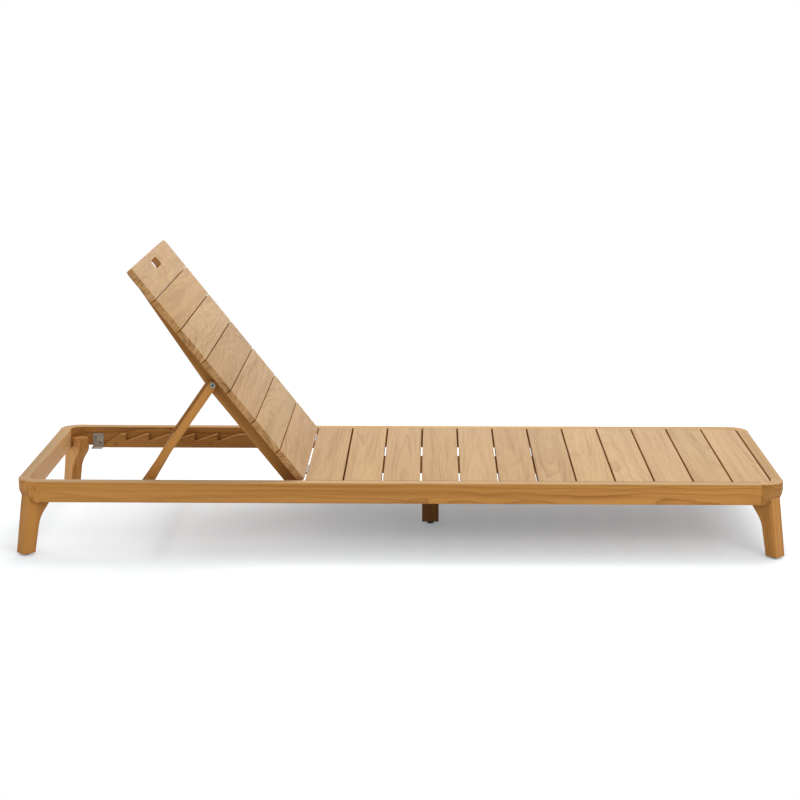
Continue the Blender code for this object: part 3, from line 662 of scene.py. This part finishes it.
def cut_from_log(
    piece, along, face, tone, sanded=(), pith=(0.03, 0.08), turn=(-40, 40), lean=0.05,
    wild=(0.3, 0.6), coarse=1.0, shade=1.0, blush=(0.0, 0.5),
):
    """Gives a board its place in the log, its tone and its end-grain mask.

    along is the board's length and face the normal of its show side. tone runs from the frame's
    oiled wood at 0 to the deck's sanded wood at 1, and shade changes its brightness; the argument
    after tone holds directions, each with the tone and shade of the faces that lie across it. Those
    faces carry painted light as well as sanded wood: paler tops stand in for sheen, and brighter
    and darker faces for light and shade.
    pith and turn place the log's heart, lean, wild and coarse make the figure, and blush
    changes its hue.
    """
    wood = bpy.context.scene.lounger_wood
    chance = random.Random(f"{piece.name}/{wood.seed}")
    along = along.normalized()
    across = face.cross(along).normalized()
    deep = along.cross(across)
    mesh = piece.data
    middle = sum((vert.co for vert in mesh.vertices), Vector()) / len(mesh.vertices)
    far = chance.uniform(*pith)
    angle = math.radians(chance.uniform(*turn))
    shift = far * math.sin(angle) + chance.uniform(*LOG_SHIFT)
    depth = far * math.cos(angle)
    tilt = chance.uniform(*LOG_TILT) * lean * chance.choice((-1, 1))
    skew = chance.uniform(*LOG_SKEW) * lean
    run = chance.uniform(*LOG_RUN)

    grain = mesh.attributes.new("grain", "FLOAT_VECTOR", "POINT")
    places = []
    for vert in mesh.vertices:
        offset = vert.co - middle
        length = offset.dot(along)
        sideways = offset.dot(across) + shift + skew * length
        inwards = offset.dot(deep) + depth + tilt * length
        places += [length + run, sideways * coarse, inwards * coarse]
    grain.data.foreach_set("vector", places)

    glow = chance.uniform(*BOARD_GLOW)
    for name, limits in (("wild", wild), ("blush", blush)):
        spread(mesh, name, "POINT", [chance.uniform(*limits)] * len(mesh.vertices))

    ends = [abs(side.normal.dot(along)) for side in mesh.polygons]
    spread(mesh, "end_grain", "FACE", [end ** END_GRAIN_POWER for end in ends])
    tones = [tone] * len(ends)
    shades = [shade * glow] * len(ends)
    # Faces along a listed direction take its tone and shade: sanded wood, with painted sheen, light
    # and shade.
    if sanded:
        lift = chance.uniform(*TONE_LIFT)
        for i, side in enumerate(mesh.polygons):
            for show, pale, light in sanded:
                if side.normal.dot(show) > SHOW_FACE:
                    tones[i] = pale + lift
                    shades[i] = light * glow
            if ends[i] > END_FACE:
                tones[i] = END_TONE * (sanded[0][1] + lift)
    spread(mesh, "tone", "FACE", tones)
    spread(mesh, "shade", "FACE", shades)


def round_top_corners(shape, along, face, rise, radius):
    """Rounds the two corners of a board that lie furthest along its rise."""
    limit = max(vert.co.dot(rise) for vert in shape.verts) - CORNER_SLACK
    reach = max(abs(vert.co.dot(along)) for vert in shape.verts) - CORNER_SLACK

    def at_corner(vert):
        return vert.co.dot(rise) > limit and abs(vert.co.dot(along)) > reach

    picked = []
    for edge in shape.edges:
        way = (edge.verts[1].co - edge.verts[0].co).normalized()
        if all(map(at_corner, edge.verts)) and abs(way.dot(face)) > STRAIGHT_EDGE:
            picked.append(edge)
    bmesh.ops.bevel(
        shape, geom=picked, offset=radius, offset_type="OFFSET", segments=CORNER_SEGMENTS,
        profile=ROUND_PROFILE, affect="EDGES",
    )


def teak_board(node, along, face, radius, tone=FRAME_TONE, keep=None, top=None, **log):
    """A rounded teak piece that stands for a CAD node."""
    shape = copied_shape(node)
    if top:
        round_top_corners(shape, along, face, *top)
    round_edges(shape, radius, WOOD_SEGMENTS, keep)
    piece = piece_from(shape, f"{node}_teak", teak())
    cut_from_log(piece, along, face, tone, **log)
    stand_for(piece, node)


def steel_fitting(node, slot, radius):
    """A softened steel piece that stands for a CAD node."""
    shape = copied_shape(node)
    round_edges(shape, radius, FITTING_SEGMENTS)
    piece = piece_from(shape, f"{node}_steel", steel(slot))
    stand_for(piece, node)
    return piece


def paint_shade(piece, level_of):
    """Paints shade on the faces of a steel piece, each by its own level."""
    spread(piece.data, "recess", "FACE", [level_of(face) for face in piece.data.polygons])


def socket_levels(bolt):
    """How much painted shade each face of a bolt takes: its hexagon socket, round the prop's axis,
    is painted dark as shade falls in it.
    """
    axis = Vector(hinge_joint("prop_pivot")["pos_m"])
    crown = max(abs(vert.co.y) for vert in bolt.data.vertices)

    def level_of(face):
        away = math.hypot(face.center.x - axis.x, face.center.z - axis.z)
        sunk = SOCKET_LIP < crown - abs(face.center.y) < SOCKET_DEPTH
        return SOCKET_DARK if sunk and away < SOCKET_RADIUS else 0.0

    return level_of


def bracket_level(face):
    """How much painted shade a face of a bracket takes: its plate, which stands along the lounger's
    side, is painted darker than its lip, on which light falls.
    """
    return PLATE_DARK if abs(face.normal.y) > PLATE_FACE else LIP_DARK


def on_planes(planes):
    """Tells whether an edge lies in one of the (axis, place) planes."""

    def lies_on(edge):
        for axis, place in planes:
            if all(abs(vert.co[axis] - place) < ON_PLANE for vert in edge.verts):
                return True
        return False

    return lies_on


def nodes_named(start):
    return sorted(node for node in frame["nodes"] if node.startswith(start))


class LOUNGER_OT_frame(bpy.types.Operator):
    """Rails and corner blocks of the frame"""

    bl_idname = "lounger.frame"
    bl_label = "Frame"

    def execute(self, context):
        radius = context.scene.lounger_edges.rail
        for side, sign in SIDES.items():
            node = f"side_rail_{side}"
            low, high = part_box(node)
            ends = on_planes([(0, low.x), (0, high.x)])
            out = sign * ALONG_Y
            teak_board(node, ALONG_X, out, radius, keep=ends, sanded=(RAIL_TOP,), **RAIL_LOG)
        # The head rail's inner face is brightened as painted light, and the foot rail's is darkened
        # as painted shade in the seam.
        for node, sign, inner in (("head_rail", -1, HEAD_INNER), ("foot_rail", 1, SEAM_SIDE)):
            low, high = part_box(node)
            ends = on_planes([(1, low.y), (1, high.y)])
            out = sign * ALONG_X
            sanded = (RAIL_TOP, (-out, *inner))
            teak_board(node, ALONG_Y, out, radius, keep=ends, sanded=sanded, **RAIL_LOG)
        for corner, (along, across) in CORNERS.items():
            node = f"corner_block_{corner}"
            low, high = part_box(node)
            joint_x = high.x if along < 0 else low.x
            joint_y = high.y if across < 0 else low.y
            ends = on_planes([(0, joint_x), (1, joint_y)])
            grain = Vector((along, -across, 0))
            out = Vector((along, across, 0)).normalized()
            shade = BLOCK_SHADES.get(corner, BLOCK_SHADE)
            sanded = (BLOCK_TOP,)
            # The foot blocks' inner faces take the painted shade of the seam.
            if along > 0:
                sanded += ((-out, *SEAM_SIDE),)
            teak_board(node, grain, out, radius, keep=ends, sanded=sanded, shade=shade)
        return {"FINISHED"}


class LOUNGER_OT_legs(bpy.types.Operator):
    """Splayed corner legs, the middle leg and their pads"""

    bl_idname = "lounger.legs"
    bl_label = "Legs"

    def execute(self, context):
        radius = context.scene.lounger_edges.leg
        for corner, (along, across) in CORNERS.items():
            out = Vector((along, across, 0)).normalized()
            down = (out * LEG_SPLAY - UP).normalized()
            flank = Vector((along, -across, 0)).normalized()
            shade = LEG_SHADES.get(corner, LEG_SHADE)
            log = {"sanded": ((flank, *LEG_FLANK),), "shade": shade, **GEAR_LOG}
            teak_board(f"leg_{corner}", down, out.cross(UP), radius, **log)
        # The middle leg is darkened as painted shade under the seat.
        teak_board("middle_leg", UP, -ALONG_Y, radius, shade=MIDDLE_LEG_PAINTED_SHADE, **GEAR_LOG)
        for corner in (*CORNERS, "middle"):
            node = f"foot_pad_{corner}"
            shape = copied_shape(node)
            round_edges(shape, PAD_ROUNDING, FITTING_SEGMENTS)
            stand_for(piece_from(shape, f"{node}_rubber", rubber()), node)
        return {"FINISHED"}


class LOUNGER_OT_carriers(bpy.types.Operator):
    """Beam, cross rail and ledgers under the seat, and the notched racks"""

    bl_idname = "lounger.carriers"
    bl_label = "Carriers and racks"

    def execute(self, context):
        radius = context.scene.lounger_edges.gear
        teak_board("centre_beam", ALONG_X, UP, radius)
        teak_board("cross_rail", ALONG_Y, UP, radius)
        for side, sign in SIDES.items():
            face = -sign * ALONG_Y
            rack = f"notched_rack_{side}"
            teak_board(f"seat_ledger_{side}", ALONG_X, face, radius, **GEAR_LOG)
            # The ramp tops are paler and brighter as painted light.
            teak_board(rack, ALONG_X, face, radius, sanded=(RACK_TOP,), **GEAR_LOG)
        return {"FINISHED"}


class LOUNGER_OT_seat(bpy.types.Operator):
    """Seat slats"""

    bl_idname = "lounger.seat"
    bl_label = "Seat slats"

    def execute(self, context):
        radius = context.scene.lounger_edges.slat
        for node in nodes_named("seat_slat_"):
            # Their tops are paler: sanded wood with painted sheen.
            teak_board(node, ALONG_Y, UP, radius, DECK_TONE, sanded=(SEAT_TOP,), **SEAT_LOG)
        return {"FINISHED"}


class LOUNGER_OT_back(bpy.types.Operator):
    """Back slats and the battens under them"""

    bl_idname = "lounger.back"
    bl_label = "Back"

    def execute(self, context):
        edges = context.scene.lounger_edges
        rise = back_direction()
        front = ALONG_Y.cross(rise)
        # The fronts are paler sanded wood with a little painted shade.
        sanded = ((front, *BACK_FRONT),)
        slats = nodes_named("back_slat_")
        for node in slats:
            top = (rise, edges.top_corner) if node == slats[-1] else None
            radius = edges.top_edge if top else edges.slat
            log = {"top": top, "sanded": sanded, **BACK_LOG}
            teak_board(node, ALONG_Y, front, radius, DECK_TONE, **log)
        for side, sign in SIDES.items():
            teak_board(f"back_batten_{side}", rise, sign * ALONG_Y, edges.gear, **GEAR_LOG)
        return {"FINISHED"}


class LOUNGER_OT_prop(bpy.types.Operator):
    """Folding prop: two arms and the bar"""

    bl_idname = "lounger.prop"
    bl_label = "Prop"

    def execute(self, context):
        radius = context.scene.lounger_edges.gear
        fall = prop_direction()
        for side, sign in SIDES.items():
            teak_board(f"prop_arm_{side}", fall, sign * ALONG_Y, radius, **GEAR_LOG)
        teak_board("prop_bar", ALONG_Y, fall, radius)
        return {"FINISHED"}


class LOUNGER_OT_fittings(bpy.types.Operator):
    """Brackets, bolts and hinges"""

    bl_idname = "lounger.fittings"
    bl_label = "Fittings"

    def execute(self, context):
        radius = context.scene.lounger_edges.metal
        for side in SIDES:
            # Painted shade on the bracket plates and in the bolts' sockets.
            paint_shade(steel_fitting(f"bar_bracket_{side}", "bracket_steel", radius), bracket_level)
            bolt = steel_fitting(f"prop_bolt_{side}", "bolt_steel", radius)
            paint_shade(bolt, socket_levels(bolt))
            for kind in ("hinge_seat_leaf", "hinge_back_leaf", "hinge_pin"):
                skins = frame["nodes"][f"{kind}_{side}"].data.materials
                skins.clear()
                skins.append(steel("hinge_steel"))
        return {"FINISHED"}


def cross_slot(graph, sizes, long_axis):
    """A bar across a screw's crown, which cuts one slot of its cross."""
    slot = graph.add("GeometryNodeMeshCube")
    size = graph.add("ShaderNodeCombineXYZ")
    graph.link(graph.math("MULTIPLY", sizes["Radius"], CROSS_LENGTH), size.inputs[long_axis])
    graph.link(graph.math("MULTIPLY", sizes["Radius"], CROSS_WIDTH), size.inputs[1 - long_axis])
    graph.link(sizes["Height"], size.inputs[2])
    graph.link(size.outputs[0], slot.inputs["Size"])
    lift = graph.add("GeometryNodeTransform")
    raised = graph.add("ShaderNodeCombineXYZ")
    graph.link(graph.math("MULTIPLY", sizes["Height"], CROSS_LIFT), raised.inputs[2])
    graph.link(raised.outputs[0], lift.inputs["Translation"])
    graph.link(slot.outputs["Mesh"], lift.inputs["Geometry"])
    return lift.outputs[0]


def fastener_tree(name, material, cross):
    """A node group that puts a low round head on each point, along the point's normal."""
    tree = bpy.data.node_groups.new(name, "GeometryNodeTree")
    face = tree.interface
    face.new_socket("Geometry", in_out="INPUT", socket_type="NodeSocketGeometry")
    face.new_socket("Radius", in_out="INPUT", socket_type="NodeSocketFloat")
    face.new_socket("Height", in_out="INPUT", socket_type="NodeSocketFloat")
    face.new_socket("Geometry", in_out="OUTPUT", socket_type="NodeSocketGeometry")
    graph = Graph(tree)
    sizes = graph.add("NodeGroupInput").outputs

    head = graph.add("GeometryNodeMeshCone")
    head.inputs["Vertices"].default_value = HEAD_SIDES
    graph.link(graph.math("MULTIPLY", sizes["Radius"], HEAD_CROWN), head.inputs["Radius Top"])
    graph.link(sizes["Radius"], head.inputs["Radius Bottom"])
    graph.link(sizes["Height"], head.inputs["Depth"])
    solid = head.outputs["Mesh"]
    if cross:
        for long_axis in (0, 1):
            cut = graph.add("GeometryNodeMeshBoolean", operation="DIFFERENCE", solver="EXACT")
            graph.link(solid, cut.inputs["Mesh 1"])
            graph.link(cross_slot(graph, sizes, long_axis), cut.inputs["Mesh 2"])
            solid = cut.outputs["Mesh"]

    normal = graph.add("GeometryNodeInputNamedAttribute", data_type="FLOAT_VECTOR")
    normal.inputs["Name"].default_value = "outward"
    turn = graph.add("FunctionNodeAlignRotationToVector", axis="Z")
    graph.link(normal.outputs[0], turn.inputs["Vector"])
    copies = graph.add("GeometryNodeInstanceOnPoints")
    graph.link(sizes["Geometry"], copies.inputs["Points"])
    graph.link(solid, copies.inputs["Instance"])
    graph.link(turn.outputs[0], copies.inputs["Rotation"])
    real = graph.add("GeometryNodeRealizeInstances")
    graph.link(copies.outputs[0], real.inputs[0])
    dress = graph.add("GeometryNodeSetMaterial")
    dress.inputs["Material"].default_value = material
    graph.link(real.outputs[0], dress.inputs["Geometry"])
    end = graph.add("NodeGroupOutput")
    graph.link(dress.outputs[0], end.inputs[0])
    return tree


def fasten(name, spots, tree, radius, height):
    """Runs a fastener tree on (place, outward) spots and keeps the plain mesh."""
    points = bpy.data.meshes.new(f"{name}_spots")
    points.from_pydata([place for place, _ in spots], [], [])
    outward = points.attributes.new("outward", "FLOAT_VECTOR", "POINT")
    outward.data.foreach_set("vector", [value for _, normal in spots for value in normal])
    carrier = bpy.data.objects.new(name, points)
    bpy.context.scene.collection.objects.link(carrier)
    step = carrier.modifiers.new("fasteners", "NODES")
    step.node_group = tree
    values = {"Radius": radius, "Height": height}
    for item in tree.interface.items_tree:
        if item.in_out == "INPUT" and item.name in values:
            step[item.identifier] = values[item.name]
    graph = bpy.context.evaluated_depsgraph_get()
    mesh = bpy.data.meshes.new_from_object(carrier.evaluated_get(graph))
    mesh.name = name
    carrier.modifiers.clear()
    carrier.data = mesh
    bpy.data.meshes.remove(points)
    mesh.shade_smooth()
    mesh.set_sharp_from_angle(angle=SMOOTH_ANGLE)
    return carrier


class LOUNGER_OT_fasteners(bpy.types.Operator):
    """Screws on the brackets and plugs over the racks' screws"""

    bl_idname = "lounger.fasteners"
    bl_label = "Screws and plugs"

    def execute(self, context):
        sizes = context.scene.lounger_fasteners
        screws = []
        plugs = []
        for side, sign in SIDES.items():
            inward = -sign * ALONG_Y
            low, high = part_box(f"bar_bracket_{side}")
            wall = (high.y if sign > 0 else low.y) - sign * BRACKET_SHEET
            for along, down in SCREW_SPOTS:
                x = low.x + along * (high.x - low.x)
                z = high.z - down * (high.z - low.z)
                screws.append((Vector((x, wall, z)), inward))
            low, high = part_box(f"notched_rack_{side}")
            wall = low.y if sign > 0 else high.y
            for along in PLUG_SPOTS:
                x = low.x + along * (high.x - low.x)
                plugs.append((Vector((x, wall, low.z + PLUG_ABOVE_FOOT)), inward))
        tree = fastener_tree("bracket_screw", steel("screw_steel"), True)
        heads = fasten("bracket_screws", screws, tree, sizes.screw_radius, sizes.screw_height)
        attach(heads, "frame")
        tree = fastener_tree("rack_plug", teak(), False)
        discs = fasten("rack_plugs", plugs, tree, sizes.plug_radius, sizes.plug_height)
        cut_from_log(discs, ALONG_Y, UP, FRAME_TONE, shade=PLUG_SHADE)
        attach(discs, "frame")
        return {"FINISHED"}


class LOUNGER_OT_stage(bpy.types.Operator):
    """Floor, light and camera"""

    bl_idname = "lounger.stage"
    bl_label = "Stage"

    def execute(self, context):
        stage = context.scene.lounger_stage
        context.scene.view_settings.view_transform = "Standard"
        make_floor(stage)
        make_sky(stage)
        make_lamps(stage)
        make_camera(stage)
        return {"FINISHED"}


def seen_directly(graph):
    """One for the rays that show a surface to the camera, in a mirror or through glass."""
    seen = graph.add("ShaderNodeLightPath").outputs
    direct = graph.math("ADD", seen["Is Camera Ray"], seen["Is Glossy Ray"], clamp=True)
    return graph.math("ADD", direct, seen["Is Transmission Ray"], clamp=True)


def make_floor(stage):
    """A plain pale floor that takes the lounger's shadow and fades to white."""
    shape = bmesh.new()
    bmesh.ops.create_grid(shape, x_segments=1, y_segments=1, size=FLOOR_HALF)
    mesh = bpy.data.meshes.new("floor")
    shape.to_mesh(mesh)
    shape.free()
    floor = bpy.data.objects.new("floor", mesh)
    floor.location.z = -FLOOR_DROP
    bpy.context.scene.collection.objects.link(floor)
    material = bpy.data.materials.new("studio_floor")
    material.use_nodes = True
    graph = Graph(material.node_tree)
    graph.tree.nodes.clear()
    matt = graph.add("ShaderNodeBsdfDiffuse")
    matt.inputs["Color"].default_value = colour(stage.floor_colour)
    direct = seen_directly(graph)
    glow = graph.add("ShaderNodeEmission")
    glow.inputs["Color"].default_value = colour(stage.floor_glow)
    graph.link(direct, glow.inputs["Strength"])
    both = graph.add("ShaderNodeAddShader")
    graph.link(matt.outputs[0], both.inputs[0])
    graph.link(glow.outputs[0], both.inputs[1])

    place = graph.add("ShaderNodeTexCoord").outputs["Object"]
    away = graph.add("ShaderNodeVectorMath", operation="LENGTH")
    graph.link(place, away.inputs[0])
    faded = graph.math("MULTIPLY", graph.span(away.outputs["Value"], *FLOOR_FADE), direct)
    white = graph.add("ShaderNodeEmission")
    mixed = graph.add("ShaderNodeMixShader")
    graph.link(faded, mixed.inputs[0])
    graph.link(both.outputs[0], mixed.inputs[1])
    graph.link(white.outputs[0], mixed.inputs[2])
    end = graph.add("ShaderNodeOutputMaterial")
    graph.link(mixed.outputs[0], end.inputs["Surface"])
    mesh.materials.append(material)


def make_sky(stage):
    """White all round for the camera and for reflections, softer as light."""
    world = bpy.data.worlds.new("studio")
    bpy.context.scene.world = world
    world.use_nodes = True
    graph = Graph(world.node_tree)
    back = world.node_tree.nodes["Background"]
    back.inputs["Color"].default_value = colour(WHITE)
    strength = graph.math("MULTIPLY_ADD", seen_directly(graph), 1.0 - stage.sky_strength)
    strength.node.inputs[2].default_value = stage.sky_strength
    graph.link(strength, back.inputs["Strength"])


def make_lamp(name, power, size, place, aim, mirrored=True):
    """A soft rectangular light that shines from one place towards another."""
    lamp = bpy.data.lights.new(name, "AREA")
    lamp.shape = "RECTANGLE"
    lamp.size, lamp.size_y = size
    lamp.energy = power
    soft_box = bpy.data.objects.new(name, lamp)
    soft_box.location = place
    soft_box.visible_glossy = mirrored
    soft_box.rotation_euler = (Vector(aim) - Vector(place)).to_track_quat("-Z", "Y").to_euler()
    bpy.context.scene.collection.objects.link(soft_box)


def make_lamps(stage):
    """A wide soft light overhead and a weaker one before the lounger."""
    make_lamp("top_light", stage.top_power, **TOP_LAMP)
    make_lamp("front_light", stage.front_power, mirrored=False, **FRONT_LAMP)


def make_camera(stage):
    data = bpy.data.cameras.new("camera")
    data.lens = stage.lens
    data.sensor_width = SENSOR_WIDTH
    data.sensor_fit = "HORIZONTAL"
    data.clip_end = CLIP_END
    camera = bpy.data.objects.new("camera", data)
    camera.location = stage.camera_place
    camera.rotation_euler = stage.camera_turn
    bpy.context.scene.collection.objects.link(camera)
    bpy.context.scene.camera = camera


class LOUNGER_PT_panel(bpy.types.Panel):
    """Settings and steps of the lounger"""

    bl_label = "Teak sun lounger"
    bl_idname = "LOUNGER_PT_panel"
    bl_space_type = "VIEW_3D"
    bl_region_type = "UI"
    bl_category = "Lounger"

    def draw(self, context):
        layout = self.layout
        for name in SETTINGS:
            group = getattr(context.scene, name)
            box = layout.box()
            for key in group.bl_rna.properties.keys():
                if key not in ("rna_type", "name"):
                    box.prop(group, key)
        for step in STEPS:
            layout.operator(step.bl_idname)


SETTINGS = {
    "lounger_wood": LoungerWood,
    "lounger_edges": LoungerEdges,
    "lounger_fasteners": LoungerFasteners,
    "lounger_stage": LoungerStage,
}
STEPS = (
    LOUNGER_OT_stage,
    LOUNGER_OT_frame,
    LOUNGER_OT_legs,
    LOUNGER_OT_carriers,
    LOUNGER_OT_seat,
    LOUNGER_OT_back,
    LOUNGER_OT_prop,
    LOUNGER_OT_fittings,
    LOUNGER_OT_fasteners,
)
CLASSES = (*SETTINGS.values(), *STEPS, LOUNGER_PT_panel)


def register():
    for item in CLASSES:
        bpy.utils.register_class(item)
    for name, group in SETTINGS.items():
        setattr(bpy.types.Scene, name, PointerProperty(type=group))


def unregister():
    for name in SETTINGS:
        delattr(bpy.types.Scene, name)
    for item in reversed(CLASSES):
        bpy.utils.unregister_class(item)


def main():
    register()
    for name in ("Cube", "Light", "Camera"):
        start = bpy.data.objects.get(name)
        if start:
            bpy.data.objects.remove(start)
    bpy.ops.lounger.stage()
    bpy.ops.lounger.frame()
    bpy.ops.lounger.legs()
    bpy.ops.lounger.carriers()
    bpy.ops.lounger.seat()
    bpy.ops.lounger.back()
    bpy.ops.lounger.prop()
    bpy.ops.lounger.fittings()
    bpy.ops.lounger.fasteners()


if __name__ == "__main__":
    main()
